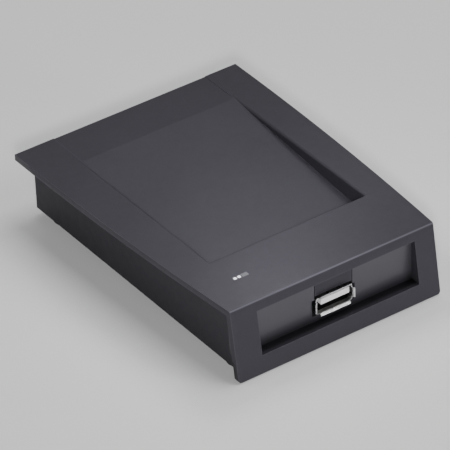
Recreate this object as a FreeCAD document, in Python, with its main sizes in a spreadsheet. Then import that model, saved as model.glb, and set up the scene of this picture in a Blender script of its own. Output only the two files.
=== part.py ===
import FreeCAD, Part
import Sketcher
import math
import os
import re

# Desktop RFID card reader: a thin cover with an inclined card bay, a hanging front panel with a
# connector pocket, a smaller housing below, and the board, coil and USB socket inside.
# Millimetres. +Z is up, the USB side faces -Y, the origin is at the bottom centre.

doc = FreeCAD.newDocument("rfid_card_reader")
sheet = doc.addObject("Spreadsheet::Sheet", "Sizes")

SIZES = (
    # how far a cutting tool reaches past the faces it opens
    ("beyond", 1.0),
    ("far_beyond", 10.0),
    # cover
    ("plate_top", 24.0),
    ("plate_thick", 2.0),
    ("cover_front", -51.5),
    ("cover_back", 54.8),
    ("cover_half_front", 36.5),
    ("cover_half_back", 40.8),
    ("side_bow_radius", 1230.0),
    ("front_edge_round", 0.7),
    ("corner_round", 1.0),
    # front panel and the pocket in it
    ("panel_foot", 0.3),
    ("panel_lean", 3.3),
    ("panel_thick", 2.1),
    ("panel_relief_depth", 1.1),
    ("port_shift", 0.95),
    ("pocket_half", 28.4),
    ("pocket_floor", 6.1),
    ("pocket_roof", 20.6),
    ("collar_wall", 1.25),
    ("collar_drop", 1.0),
    ("tab_half", 6.6),
    ("tab_foot", 15.2),
    # card bay
    ("bay_half", 28.0),
    ("bay_shift", 1.3),
    ("bay_front", -27.7),
    ("bay_depth", 6.65),
    ("bay_slope", 0.0973),
    ("bay_shelf_depth", 0.2),
    ("bay_wall", 1.8),
    ("bay_slab", 2.0),
    ("bay_round", 0.8),
    # bottom housing
    ("housing_half", 35.0),
    ("housing_back", 54.0),
    ("housing_foot", 2.87),
    ("housing_rim", 21.9),
    ("housing_wall", 2.0),
    ("front_wall_thick", 1.6),
    ("front_wall_top_y", -50.3),
    ("front_wall_foot_y", -50.0),
    ("notch_half", 6.85),
    ("notch_wide_half", 7.7),
    ("notch_wide_top", 13.9),
    ("notch_foot", 8.2),
    ("seam_gap", 0.1),
    # screws that close the case
    ("case_screw_x_front", 29.5),
    ("case_screw_y_front", -32.0),
    ("case_screw_x_back", 20.0),
    ("case_screw_y_back", 46.0),
    ("case_boss_radius", 3.0),
    ("case_boss_foot", 6.4),
    ("case_pilot_radius", 1.3),
    ("case_pilot_top", 18.0),
    ("case_pad_radius", 4.0),
    ("case_bore_radius", 1.6),
    ("case_counterbore_radius", 2.9),
    ("case_counterbore_top", 4.9),
    ("case_shank_radius", 1.25),
    ("case_shank_top", 15.0),
    ("case_head_radius", 2.6),
    ("case_head_tall", 1.6),
    ("screw_socket_wide", 0.6),
    ("screw_socket_reach", 0.55),
    ("screw_socket_deep", 0.7),
    # feet and label
    ("foot_x", 29.0),
    ("foot_y_front", -44.5),
    ("foot_y_back", 46.5),
    ("foot_radius_floor", 4.1),
    ("foot_radius_top", 4.5),
    ("foot_recess", 0.4),
    ("foot_recess_radius", 4.7),
    ("label_half_x", 22.0),
    ("label_half_y", 13.0),
    ("label_thick", 0.15),
    # main board
    ("board_half", 30.0),
    ("board_front", -45.5),
    ("board_back", 13.0),
    ("board_under", 7.0),
    ("board_thick", 1.6),
    ("board_notch_radius", 3.8),
    ("post_x", 26.5),
    ("post_y_front", -22.0),
    ("post_y_back", 8.0),
    ("post_radius", 2.5),
    ("post_pilot_radius", 1.05),
    ("board_hole_radius", 1.3),
    ("board_screw_radius", 1.0),
    ("board_screw_foot", 5.0),
    ("board_head_radius", 1.9),
    ("board_head_tall", 1.4),
    # USB socket
    ("usb_half_wide", 6.55),
    ("usb_tall", 5.7),
    ("usb_sheet", 0.3),
    ("usb_mouth", -51.3),
    ("usb_back", -37.3),
    ("usb_flare", 0.75),
    ("usb_flare_long", 1.1),
    ("usb_flap_inset", 1.1),
    ("usb_leg_wide", 1.8),
    ("usb_leg_foot", 5.6),
    ("usb_leg_y", -40.1),
    ("usb_leg_gap", 0.15),
    ("tongue_half", 5.1),
    ("tongue_under", 12.05),
    ("tongue_thick", 1.8),
    ("tongue_front", -51.0),
    ("tongue_root", -40.6),
    ("contact_wide", 1.0),
    ("contact_thick", 0.2),
    ("contact_front", -50.4),
    ("contact_drop_y", -36.9),
    ("contact_foot", 5.8),
    ("contact_inner_x", 1.0),
    ("contact_outer_x", 3.5),
    ("contact_gap", 0.1),
    # indicators
    ("indicator_x", -25.65),
    ("indicator_y", -38.8),
    ("indicator_pitch", 1.45),
    ("indicator_long_x", -22.25),
    ("guide_post_wide", 1.1),
    ("guide_long_wide", 2.1),
    ("guide_post_deep", 1.5),
    ("guide_post_foot", 9.8),
    ("guide_bar_x", -23.8),
    ("guide_bar_half", 3.4),
    ("guide_bar_deep", 3.4),
    ("guide_bar_thick", 1.2),
    ("guide_gap", 0.06),
    ("led_wide", 0.8),
    ("led_deep", 1.6),
    ("led_tall", 0.6),
    # antenna coil
    ("coil_half_x", 23.0),
    ("coil_half_y", 26.0),
    ("coil_mid_y", 12.0),
    ("coil_band", 3.2),
    ("coil_thick", 1.8),
    ("coil_round", 8.0),
    ("coil_pad_thick", 0.8),
    ("coil_pad_half", 4.0),
    ("coil_pad_band", 2.6),
    ("lead_radius", 0.35),
    ("lead_sag", 1.2),
    ("lead_spread", 1.0),
    ("lead_plugged", 1.6),
    ("socket_x", -10.0),
    ("socket_y", 5.0),
    ("socket_half_x", 3.2),
    ("socket_half_y", 2.3),
    ("socket_tall", 4.2),
    ("socket_hole_radius", 0.6),
    ("socket_hole_deep", 2.0),
    ("socket_pitch", 2.0),
    # parts on the board
    ("controller_x", -8.0),
    ("controller_y", -22.0),
    ("controller_half", 3.5),
    ("chip_tall", 1.4),
    ("chip_lift", 0.1),
    ("chip_leg_wide", 0.35),
    ("chip_leg_out", 1.0),
    ("chip_leg_thick", 0.2),
    ("controller_pitch", 0.8),
    ("reader_x", 2.0),
    ("reader_y", -6.0),
    ("reader_half_x", 1.95),
    ("reader_half_y", 4.95),
    ("reader_pitch", 1.27),
    ("crystal_x", -17.0),
    ("crystal_y", -31.5),
    ("crystal_half_x", 5.5),
    ("crystal_half_y", 2.3),
    ("crystal_tall", 3.5),
    ("crystal_round", 2.07),
    ("regulator_x", 9.0),
    ("regulator_y", -30.5),
    ("regulator_half_x", 3.25),
    ("regulator_half_y", 1.75),
    ("regulator_tall", 1.6),
    ("regulator_pitch", 2.3),
    ("big_cap_x_near", 13.5),
    ("big_cap_x_far", 20.5),
    ("big_cap_y", -39.5),
    ("big_cap_radius", 2.5),
    ("big_cap_tall", 5.4),
    ("big_cap_base", 0.8),
    ("coil_driver_x", 19.0),
    ("coil_driver_y", -27.0),
    ("coil_driver_half", 3.5),
    ("coil_driver_tall", 3.5),
    ("buzzer_x", 12.5),
    ("buzzer_y", -3.0),
    ("buzzer_radius", 4.75),
    ("buzzer_tall", 5.5),
    ("buzzer_hole_radius", 0.9),
    ("buzzer_hole_deep", 1.5),
    ("cap_to_controller", 7.5),
    ("cap_to_reader", 8.0),
    ("cap_to_regulator", 7.0),
    ("cap_step", 4.0),
    ("small_cap_long", 2.0),
    ("small_cap_wide", 1.25),
    ("small_cap_tall", 0.9),
    ("resistor_long", 1.6),
    ("resistor_wide", 0.8),
    ("resistor_tall", 0.5),
    ("resistor_row_x", -22.0),
    ("resistor_row_y", -8.0),
    ("resistor_pitch", 1.9),
)

for row, (alias, value) in enumerate(SIZES, start=1):
    sheet.set("A%d" % row, alias)
    sheet.set("B%d" % row, str(value))
    sheet.setAlias("B%d" % row, alias)
doc.recompute()

ALIASES = {alias for alias, value in SIZES}
NEAR = 0.01  # points closer than this are taken as the same place
nodes = {}


def size(alias):
    """Value of one sheet cell."""
    return float(sheet.get(alias))


def formula(text):
    """Put the sheet's name in front of every size named in a formula."""
    def prefix(match):
        word = match.group(0)
        return "Sizes." + word if word in ALIASES else word
    return re.sub(r"[a-z][a-z_]*", prefix, str(text))


def bind(item, prop, text):
    item.setExpression(prop, formula(text))


def box(name, x, y, z):
    """Block between pairs of formulas (low, high) on each axis."""
    item = doc.addObject("Part::Box", name)
    for prop, axis, (low, high) in (("Length", "x", x), ("Width", "y", y), ("Height", "z", z)):
        bind(item, prop, "(%s) - (%s)" % (high, low))
        bind(item, "Placement.Base." + axis, low)
    return item


def middle_box(name, x, y, half_x, half_y, low, high):
    """Block centred on x and y, between two heights."""
    spans = [("(%s) - (%s)" % (mid, half), "(%s) + (%s)" % (mid, half))
             for mid, half in ((x, half_x), (y, half_y))]
    return box(name, spans[0], spans[1], (low, high))


def post(name, x, y, radius, low, high):
    """Upright cylinder."""
    item = doc.addObject("Part::Cylinder", name)
    bind(item, "Radius", radius)
    bind(item, "Height", "(%s) - (%s)" % (high, low))
    bind(item, "Placement.Base.x", x)
    bind(item, "Placement.Base.y", y)
    bind(item, "Placement.Base.z", low)
    return item


def set_wedge(item, x, along, low_span, high_span):
    """Fill in a wedge whose second span changes from one end of its axis to the other."""
    values = {"Xmin": x[0], "Xmax": x[1], "X2min": x[0], "X2max": x[1],
              "Ymin": along[0], "Ymax": along[1],
              "Zmin": low_span[0], "Zmax": low_span[1],
              "Z2min": high_span[0], "Z2max": high_span[1]}
    for prop, text in values.items():
        bind(item, prop, text)
    return item


def ramp_block(name, x, y, front_z, back_z):
    """Block whose heights change along Y."""
    return set_wedge(doc.addObject("Part::Wedge", name), x, y, front_z, back_z)


def leaning_block(name, x, z, foot_y, head_y):
    """Block whose front and back faces lean: their Y changes with height."""
    item = doc.addObject("Part::Wedge", name)
    item.Placement = FreeCAD.Placement(FreeCAD.Vector(0, 0, 0),
                                       FreeCAD.Rotation(FreeCAD.Vector(1, 0, 0), 90))

    def turned(span):
        return "-(%s)" % span[1], "-(%s)" % span[0]
    return set_wedge(item, x, z, turned(foot_y), turned(head_y))


def fuse(name, parts):
    item = doc.addObject("Part::MultiFuse", name)
    item.Shapes = parts
    return item


def cut(name, base, tools):
    """Base minus every tool."""
    item = doc.addObject("Part::Cut", name)
    item.Base = base
    item.Tool = tools[0] if len(tools) == 1 else fuse(name + "_tools", tools)
    return item


def shared(name, first, second):
    """The space that two shapes have in common."""
    item = doc.addObject("Part::Common", name)
    item.Base = first
    item.Tool = second
    return item


def group(name, parts):
    """Separate solids in one node."""
    item = doc.addObject("Part::Compound", name)
    item.Links = parts
    return item


def node(name, item):
    item.Label = name
    nodes[name] = item
    return item


def rounded(name, base, radius, wanted):
    """Round the edges of base for which wanted(edge) is true."""
    doc.recompute()
    item = doc.addObject("Part::Fillet", name)
    item.Base = base
    item.Edges = [(number, radius, radius)
                  for number, edge in enumerate(base.Shape.Edges, start=1) if wanted(edge)]
    return item


def upright(edge):
    """True for a straight edge along Z."""
    line = edge.Vertexes[-1].Point - edge.Vertexes[0].Point
    return abs(line.z) > NEAR and math.hypot(line.x, line.y) < NEAR


def mirrored_points(x, front_y, back_y, back_x=None):
    """Four places: left and right at the front, left and right at the back."""
    back_x = back_x or x
    return (("-" + x, front_y), (x, front_y), ("-" + back_x, back_y), (back_x, back_y))


def face_y(z):
    """Formula for the panel's front face at a height."""
    return ("cover_front - panel_lean * (plate_top - (%s)) / (plate_top - panel_foot)" % z)


def wall_y(z):
    """Formula for the front of the housing's front wall at a height."""
    return ("front_wall_foot_y + (front_wall_top_y - front_wall_foot_y)"
            " * ((%s) - housing_foot - housing_wall)"
            " / (housing_rim - housing_foot - housing_wall)" % z)


def offset(text, amount):
    return "(%s) + (%s)" % (text, amount)


def port_span(half):
    """Pair of formulas this far to each side of the connector's middle."""
    return "port_shift - (%s)" % half, "port_shift + (%s)" % half


board_top = "board_under + board_thick"
plate_under = "plate_top - plate_thick"
floor_top = "housing_foot + housing_wall"
floor_middle = "housing_foot + housing_wall / 2"
case_screws = mirrored_points("case_screw_x_front", "case_screw_y_front",
                              "case_screw_y_back", "case_screw_x_back")
board_posts = mirrored_points("post_x", "post_y_front", "post_y_back")
feet_places = mirrored_points("foot_x", "foot_y_front", "foot_y_back")
# two small windows and a longer one, each with its place along X and its width
indicator_windows = (
    ("indicator_x", "guide_post_wide"),
    ("indicator_x + indicator_pitch", "guide_post_wide"),
    ("indicator_long_x", "guide_long_wide"),
)


# Cover plate: straight at the front and back, each side one long gentle curve.
def make_plate():
    body = doc.addObject("PartDesign::Body", "plate_body")
    outline = body.newObject("Sketcher::SketchObject", "plate_outline")
    base_plane = [f for f in body.Origin.OriginFeatures if f.Role == "XY_Plane"][0]
    outline.AttachmentSupport = [(base_plane, "")]
    outline.MapMode = "FlatFace"
    bind(outline, "AttachmentOffset.Base.z", plate_under)

    front_right = FreeCAD.Vector(size("cover_half_front"), size("cover_front"), 0)
    back_right = FreeCAD.Vector(size("cover_half_back"), size("cover_back"), 0)
    chord = back_right - front_right
    outward = FreeCAD.Vector(chord.y, -chord.x, 0).normalize()
    inset = math.sqrt(size("side_bow_radius") ** 2 - (chord.Length / 2) ** 2)
    centre = (front_right + back_right) * 0.5 - outward * inset

    def flipped(point):
        return FreeCAD.Vector(-point.x, point.y, 0)

    sweep = 2 * math.asin(chord.Length / 2 / size("side_bow_radius"))

    def bow(middle, start):
        circle = Part.Circle(middle, FreeCAD.Vector(0, 0, 1), size("side_bow_radius"))
        first = math.atan2(start.y - middle.y, start.x - middle.x)
        return Part.ArcOfCircle(circle, first, first + sweep)

    outline.addGeometry(Part.LineSegment(flipped(front_right), front_right), False)
    outline.addGeometry(bow(centre, front_right), False)
    outline.addGeometry(Part.LineSegment(back_right, flipped(back_right)), False)
    outline.addGeometry(bow(flipped(centre), flipped(back_right)), False)
    for first, second in ((0, 1), (1, 2), (2, 3), (3, 0)):
        outline.addConstraint(Sketcher.Constraint("Coincident", first, 2, second, 1))
    for line in (0, 2):
        outline.addConstraint(Sketcher.Constraint("Symmetric", line, 1, line, 2, -2))
    named = (
        ("front_width", Sketcher.Constraint("DistanceX", 0, 1, 0, 2, 2 * front_right.x),
         "2 * cover_half_front"),
        ("back_width", Sketcher.Constraint("DistanceX", 2, 2, 2, 1, 2 * back_right.x),
         "2 * cover_half_back"),
        ("front_reach", Sketcher.Constraint("DistanceY", 0, 1, -1, 1, -front_right.y),
         "-cover_front"),
        ("back_reach", Sketcher.Constraint("DistanceY", -1, 1, 2, 1, back_right.y),
         "cover_back"),
        ("right_bow", Sketcher.Constraint("Radius", 1, size("side_bow_radius")),
         "side_bow_radius"),
        ("left_bow", Sketcher.Constraint("Radius", 3, size("side_bow_radius")),
         "side_bow_radius"),
    )
    for label, constraint, text in named:
        index = outline.addConstraint(constraint)
        outline.renameConstraint(index, label)
        bind(outline, "Constraints." + label, text)
    pad = body.newObject("PartDesign::Pad", "plate_pad")
    pad.Profile = outline
    bind(pad, "Length", "plate_thick")
    body.Tip = pad
    return body


bay_foot = "bay_front + bay_depth * bay_slope"
bay_angle = math.atan(size("bay_slope"))
bay_turn = FreeCAD.Rotation(FreeCAD.Vector(1, 0, 0), math.degrees(bay_angle))


def ramp_z(y):
    """Formula for the card bay's floor at a place along Y."""
    return "plate_top - bay_depth + bay_slope * ((%s) - (%s))" % (y, bay_foot)


def bay_span(half):
    """Pair of formulas this far to each side of the card bay's middle."""
    return "bay_shift - (%s)" % half, "bay_shift + (%s)" % half


def make_bay_hollows():
    """The bay's space: a block tilted with its floor, so that a card can be lifted straight off,
    and a shallow level shelf from there to the back edge."""
    above = "plate_top + bay_depth"
    ramp = box("bay_ramp_hollow", bay_span("bay_half"), (bay_foot, "2 * cover_back - bay_front"),
               ("plate_top - bay_depth", above))
    ramp.Placement = FreeCAD.Placement(ramp.Placement.Base, bay_turn)
    shelf = box("bay_shelf_hollow", bay_span("bay_half"), ("cover_back / 2", "cover_back + beyond"),
                ("plate_top - bay_shelf_depth", above))
    return [ramp, shelf]


def rim_strip(name, x, y, axis_x, axis_y, along_x):
    """Block along one rim of the bay, less the round that stays: what a rounding takes off."""
    block = box(name + "_block", x, y, ("plate_top - bay_round", "plate_top + beyond"))
    roller = doc.addObject("Part::Cylinder", name + "_roller")
    turn = (FreeCAD.Vector(0, 1, 0), 90) if along_x else (FreeCAD.Vector(1, 0, 0), -90)
    roller.Placement = FreeCAD.Placement(FreeCAD.Vector(0, 0, 0), FreeCAD.Rotation(*turn))
    low, high = x if along_x else y
    bind(roller, "Radius", "bay_round")
    bind(roller, "Height", "(%s) - (%s) + 2 * beyond" % (high, low))
    bind(roller, "Placement.Base.x", axis_x)
    bind(roller, "Placement.Base.y", axis_y)
    bind(roller, "Placement.Base.z", "plate_top - bay_round")
    return cut(name, block, [roller])


def make_bay_rounding():
    """Rounding of the bay's front and side rims, mitred in the corners. It stops at the bay's
    floor, so it fades away where the floor meets the plate's top."""
    inner_left, inner_right = bay_span("bay_half")
    outer_left, outer_right = bay_span("bay_half + bay_round")
    front, back = "bay_front - bay_round", "cover_back + beyond"
    left_rim = rim_strip("left_rim", (outer_left, offset(inner_left, "beyond")), (front, back),
                         outer_left, offset(front, "-beyond"), False)
    right_rim = rim_strip("right_rim", (offset(inner_right, "-beyond"), outer_right), (front, back),
                          outer_right, offset(front, "-beyond"), False)
    front_rim = rim_strip("front_rim", (outer_left, outer_right), (front, "bay_front + beyond"),
                          offset(outer_left, "-beyond"), front, True)
    heights = ("plate_top - bay_depth", "plate_top + bay_depth")
    between_sides = box("rim_between_sides", (inner_left, inner_right),
                        (offset(front, "-beyond"), back), heights)
    behind_front = box("rim_behind_front", bay_span("bay_half + far_beyond"),
                       ("bay_front", offset(back, "beyond")), heights)
    pieces = [shared("front_rim_run", front_rim, between_sides),
              shared("left_rim_run", left_rim, behind_front),
              shared("right_rim_run", right_rim, behind_front),
              shared("left_rim_mitre", left_rim, front_rim),
              shared("right_rim_mitre", right_rim, front_rim)]
    deep = "plate_top - 2 * bay_depth"
    under_floor = ramp_block("under_bay_floor", bay_span("bay_half + far_beyond"),
                             ("bay_front", offset(back, "beyond")),
                             (deep, ramp_z("bay_front")),
                             (deep, ramp_z(offset(back, "beyond"))))
    return cut("bay_rounding", fuse("bay_rims", pieces), [under_floor])


def make_cover():
    half = ("-cover_half_front", "cover_half_front")
    panel = leaning_block(
        "panel", half, ("panel_foot", "plate_top"),
        (face_y("panel_foot"), offset(face_y("panel_foot"), "panel_thick")),
        (face_y("plate_top"), offset(face_y("plate_top"), "panel_thick")))
    corner_edges = rounded("panel_rounded", panel, size("corner_round"), is_panel_foot_corner)
    relief_front = "panel_thick - panel_relief_depth"
    relief_low = offset(floor_top, "seam_gap")
    relief_half = "housing_half - housing_wall + 2 * seam_gap"
    relief = leaning_block(
        "panel_relief", ("-(%s)" % relief_half, relief_half), (relief_low, plate_under),
        (offset(face_y(relief_low), relief_front), offset(face_y(relief_low), "panel_thick + beyond")),
        (offset(face_y(plate_under), relief_front),
         offset(face_y(plate_under), "panel_thick + beyond")))
    thinned = cut("panel_thinned", corner_edges, [relief])
    collar_low = "pocket_floor - collar_drop"
    collar = leaning_block(
        "collar", port_span("pocket_half + collar_wall"),
        (collar_low, plate_under),
        (offset(face_y(collar_low), "panel_thick / 2"), offset(wall_y(collar_low), "-seam_gap")),
        (offset(face_y(plate_under), "panel_thick / 2"),
         offset(wall_y(plate_under), "-seam_gap")))
    tub_front = "bay_front - bay_wall"
    tub_half = "bay_half + bay_wall"
    tub_head = "plate_top - plate_thick / 2"
    tub_back = "(%s) + bay_depth / bay_slope" % bay_foot
    tub = ramp_block(
        "bay_tub", bay_span(tub_half), (tub_front, tub_back),
        ("%s - bay_slab" % ramp_z(tub_front), tub_head),
        ("%s - bay_slab" % ramp_z(tub_back), tub_head))
    bosses = [post("case_boss", x, y, "case_boss_radius", "case_boss_foot", tub_head)
              for x, y in case_screws]
    shell = fuse("cover_shell", [make_plate(), thinned, collar, tub] + bosses)
    pocket = box("pocket_hollow", port_span("pocket_half"),
                 ("cover_front - far_beyond", "cover_front + far_beyond"),
                 ("pocket_floor", "pocket_roof"))
    pilots = [post("case_pilot", x, y, "case_pilot_radius", "case_boss_foot - beyond",
                   "case_pilot_top") for x, y in case_screws]
    windows = [middle_box("indicator_window", x, "indicator_y",
                          wide + " / 2 + guide_gap", "guide_post_deep / 2 + guide_gap",
                          "plate_top - plate_thick - beyond", "plate_top + beyond")
               for x, wide in indicator_windows]
    opened = cut("cover_opened", shell,
                 make_bay_hollows() + [make_bay_rounding(), pocket] + pilots + windows)
    tab = leaning_block(
        "connector_tab", port_span("tab_half"), ("tab_foot", tub_head),
        (wall_y("tab_foot"), offset(wall_y("tab_foot"), "front_wall_thick")),
        (wall_y(tub_head), offset(wall_y(tub_head), "front_wall_thick")))
    joined = fuse("cover_joined", [opened, tab])
    return rounded("cover_rounded", joined, size("front_edge_round"), is_front_top_edge)


def is_panel_foot_corner(edge):
    """The panel's two short lower corner edges, which run front to back."""
    ends = [vertex.Point for vertex in edge.Vertexes]
    low = all(abs(point.z - size("panel_foot")) < NEAR for point in ends)
    return low and abs(ends[0].x - ends[-1].x) < NEAR


def is_front_top_edge(edge):
    """The long edge between the cover's top face and the panel's front face."""
    ends = [vertex.Point for vertex in edge.Vertexes]
    return all(abs(point.z - size("plate_top")) < NEAR
               and abs(point.y - size("cover_front")) < NEAR for point in ends)


node("top_cover", make_cover())


# Bottom housing: a plain tray, open on top. Its front wall closes the back of the pocket.
def make_housing():
    half = ("-housing_half", "housing_half")
    inner = ("-(housing_half - housing_wall)", "housing_half - housing_wall")
    clear = "panel_thick + seam_gap"
    tray = leaning_block(
        "tray", half, ("housing_foot", "housing_rim"),
        (offset(face_y("housing_foot"), clear), "housing_back"),
        (offset(face_y("housing_rim"), clear), "housing_back"))
    above = "housing_rim + beyond"
    front_hollow = leaning_block(
        "front_hollow", inner, (floor_top, above),
        ("cover_front - far_beyond", wall_y(floor_top)),
        ("cover_front - far_beyond", wall_y(above)))
    main_hollow = leaning_block(
        "main_hollow", inner, (floor_top, above),
        (offset(wall_y(floor_top), "front_wall_thick"), "housing_back - housing_wall"),
        (offset(wall_y(above), "front_wall_thick"), "housing_back - housing_wall"))
    front_wall = leaning_block(
        "front_wall", inner, (floor_middle, "housing_rim"),
        (wall_y(floor_middle), offset(wall_y(floor_middle), "front_wall_thick")),
        (wall_y("housing_rim"), offset(wall_y("housing_rim"), "front_wall_thick")))
    # wide enough below for the socket's flared lips, narrow above for the cover's tab
    notches = [box("socket_notch", port_span(half), ("cover_front - beyond", "cover_front + far_beyond"),
                   ("notch_foot", top))
               for half, top in (("notch_half", above), ("notch_wide_half", "notch_wide_top"))]
    recesses = [post("foot_recess_tool", x, y, "foot_recess_radius", "housing_foot - beyond",
                     "housing_foot + foot_recess") for x, y in feet_places]
    hollow_tray = cut("tray_hollow", tray, [front_hollow, main_hollow] + recesses)
    pads = [post("case_pad", x, y, "case_pad_radius", floor_middle, "case_boss_foot")
            for x, y in case_screws]
    posts = [post("board_post", x, y, "post_radius", floor_middle, "board_under")
             for x, y in board_posts]
    built = fuse("tray_built", [hollow_tray, front_wall] + pads + posts)
    bores = [post("case_bore", x, y, "case_bore_radius", "housing_foot - beyond",
                  "case_boss_foot + beyond") for x, y in case_screws]
    counterbores = [post("case_counterbore", x, y, "case_counterbore_radius",
                         "housing_foot - beyond", "case_counterbore_top") for x, y in case_screws]
    pilots = [post("post_pilot", x, y, "post_pilot_radius", floor_top, "board_under + beyond")
              for x, y in board_posts]
    drilled = cut("tray_drilled", built, notches + bores + counterbores + pilots)
    return rounded("tray_rounded", drilled, size("corner_round") / 2, is_back_corner)


def is_back_corner(edge):
    """The housing's two outer upright corners at the back."""
    point = edge.Vertexes[0].Point
    return (upright(edge) and abs(abs(point.x) - size("housing_half")) < NEAR
            and abs(point.y - size("housing_back")) < NEAR)


node("bottom_housing", make_housing())


def make_foot(x, y):
    """Tapered rubber foot stuck in its shallow recess."""
    item = doc.addObject("Part::Cone", "foot")
    bind(item, "Radius1", "foot_radius_floor")
    bind(item, "Radius2", "foot_radius_top")
    bind(item, "Height", "housing_foot + foot_recess")
    bind(item, "Placement.Base.x", x)
    bind(item, "Placement.Base.y", y)
    return item


node("rubber_feet", group("rubber_feet", [make_foot(x, y) for x, y in feet_places]))


def make_screw(x, y, head_low, head_tall, head_radius, shank_radius, shank_end, slot_at_foot):
    """Pan-head screw with a cross recess; its head points down or up."""
    head_high = offset(head_low, head_tall)
    head = post("screw_head", x, y, head_radius, head_low, head_high)
    if slot_at_foot:
        shank = post("screw_shank", x, y, shank_radius, head_high, shank_end)
        slot_span = (offset(head_low, "-beyond"), offset(head_low, "screw_socket_deep"))
    else:
        shank = post("screw_shank", x, y, shank_radius, shank_end, head_low)
        slot_span = (offset(head_high, "-screw_socket_deep"), offset(head_high, "beyond"))
    # the cross takes just over half of the head's width
    reach = "(%s) * screw_socket_reach" % head_radius
    blades = [middle_box("screw_blade", x, y, reach, "screw_socket_wide / 2", *slot_span),
              middle_box("screw_blade", x, y, "screw_socket_wide / 2", reach, *slot_span)]
    return cut("screw", fuse("screw_blank", [head, shank]), blades)


node("housing_screws", group("housing_screws", [
    make_screw(x, y, "case_counterbore_top - case_head_tall", "case_head_tall",
               "case_head_radius", "case_shank_radius", "case_shank_top", True)
    for x, y in case_screws]))
node("board_screws", group("board_screws", [
    make_screw(x, y, board_top, "board_head_tall", "board_head_radius", "board_screw_radius",
               "board_screw_foot", False)
    for x, y in board_posts]))


contact_places = port_span("contact_outer_x") + port_span("contact_inner_x")
leg_places = port_span("usb_half_wide - usb_sheet / 2")


def make_board():
    slab = box("board_slab", ("-board_half", "board_half"), ("board_front", "board_back"),
               ("board_under", board_top))
    low = "board_under - beyond"
    high = offset(board_top, "beyond")
    notches = [post("board_notch", x, y, "board_notch_radius", low, high)
               for x, y in case_screws[:2]]
    holes = [post("board_hole", x, y, "board_hole_radius", low, high) for x, y in board_posts]
    slots = [middle_box("leg_slot", x, "usb_leg_y", "usb_sheet / 2 + usb_leg_gap",
                        "usb_leg_wide / 2 + usb_leg_gap", low, high) for x in leg_places]
    pins = [middle_box("contact_slot", x, "contact_drop_y + contact_thick / 2",
                       "contact_wide / 2 + contact_gap", "contact_thick / 2 + contact_gap",
                       low, high) for x in contact_places]
    return cut("board_drilled", slab, notches + holes + slots + pins)


node("main_board", make_board())


# USB socket: folded sheet shell with four flared lips and two legs through the board.
usb_floor = board_top
usb_roof = offset(board_top, "usb_tall")
usb_straight = "usb_mouth + usb_flare_long"


def flap_x(name, sign):
    """Side lip that opens outward to the left or right."""
    item = doc.addObject("Part::Wedge", name)
    outer = "usb_half_wide"
    spans = {"Ymin": "usb_mouth", "Ymax": usb_straight,
             "Zmin": offset(usb_floor, "usb_flap_inset"),
             "Zmax": offset(usb_roof, "-usb_flap_inset"),
             "Z2min": offset(usb_floor, "usb_flap_inset"),
             "Z2max": offset(usb_roof, "-usb_flap_inset")}
    near = ("%s + usb_flare - usb_sheet" % outer, "%s + usb_flare" % outer)
    far = ("%s - usb_sheet" % outer, outer)
    if sign > 0:
        near, far = [tuple("port_shift + %s" % edge for edge in pair) for pair in (near, far)]
    else:
        near, far = [tuple("port_shift - (%s)" % edge for edge in reversed(pair))
                     for pair in (near, far)]
    spans.update({"Xmin": near[0], "Xmax": near[1], "X2min": far[0], "X2max": far[1]})
    for prop, text in spans.items():
        bind(item, prop, text)
    return item


def make_usb_shell():
    outer = box("usb_outer", port_span("usb_half_wide"), (usb_straight, "usb_back"),
                (usb_floor, usb_roof))
    hollow = box("usb_hollow", port_span("usb_half_wide - usb_sheet"),
                 ("usb_mouth - beyond", "usb_back + beyond"),
                 (offset(usb_floor, "usb_sheet"), offset(usb_roof, "-usb_sheet")))
    lip_x = port_span("usb_half_wide - usb_flap_inset")
    lips = [
        flap_x("lip_left", -1),
        flap_x("lip_right", 1),
        ramp_block("lip_top", lip_x, ("usb_mouth", usb_straight),
                   (offset(usb_roof, "usb_flare - usb_sheet"), offset(usb_roof, "usb_flare")),
                   (offset(usb_roof, "-usb_sheet"), usb_roof)),
        ramp_block("lip_bottom", lip_x, ("usb_mouth", usb_straight),
                   (offset(usb_floor, "-usb_flare"), offset(usb_floor, "usb_sheet - usb_flare")),
                   (usb_floor, offset(usb_floor, "usb_sheet"))),
    ]
    legs = [middle_box("usb_leg", x, "usb_leg_y", "usb_sheet / 2", "usb_leg_wide / 2",
                       "usb_leg_foot", offset(usb_floor, "beyond")) for x in leg_places]
    return fuse("usb_folded", [cut("usb_tube", outer, [hollow])] + lips + legs)


node("usb_shell", make_usb_shell())


def make_tongue():
    tongue = box("tongue_blade", port_span("tongue_half"),
                 ("tongue_front", "tongue_root + beyond"),
                 ("tongue_under", "tongue_under + tongue_thick"))
    block_half = "usb_half_wide - usb_sheet - contact_gap / 2"
    block = box("tongue_block", port_span(block_half),
                ("tongue_root", "usb_back"),
                (offset(usb_floor, "usb_sheet + contact_gap / 2"),
                 offset(usb_roof, "-usb_sheet - contact_gap / 2")))
    channel_half = "contact_wide / 2 + contact_gap"
    channels = [box("contact_channel", (offset(x, "-(%s)" % channel_half), offset(x, channel_half)),
                    ("tongue_root - beyond", "usb_back + beyond"),
                    ("tongue_under - contact_thick - contact_gap", "tongue_under"))
                for x in contact_places]
    return cut("tongue_cut", fuse("tongue_blank", [tongue, block]), channels)


node("usb_tongue", make_tongue())


def make_contact(x):
    """Strip under the tongue that bends down through the board behind the shell."""
    strip_half = "contact_wide / 2"
    x_span = ("(%s) - (%s)" % (x, strip_half), "(%s) + (%s)" % (x, strip_half))
    strip_z = ("tongue_under - contact_thick", "tongue_under")
    strip = box("contact_strip", x_span,
                ("contact_front", "contact_drop_y + contact_thick"), strip_z)
    drop = box("contact_drop", x_span, ("contact_drop_y", "contact_drop_y + contact_thick"),
               ("contact_foot", "tongue_under"))
    return fuse("contact", [strip, drop])


node("usb_contacts", group("usb_contacts", [make_contact(x) for x in contact_places]))


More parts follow.
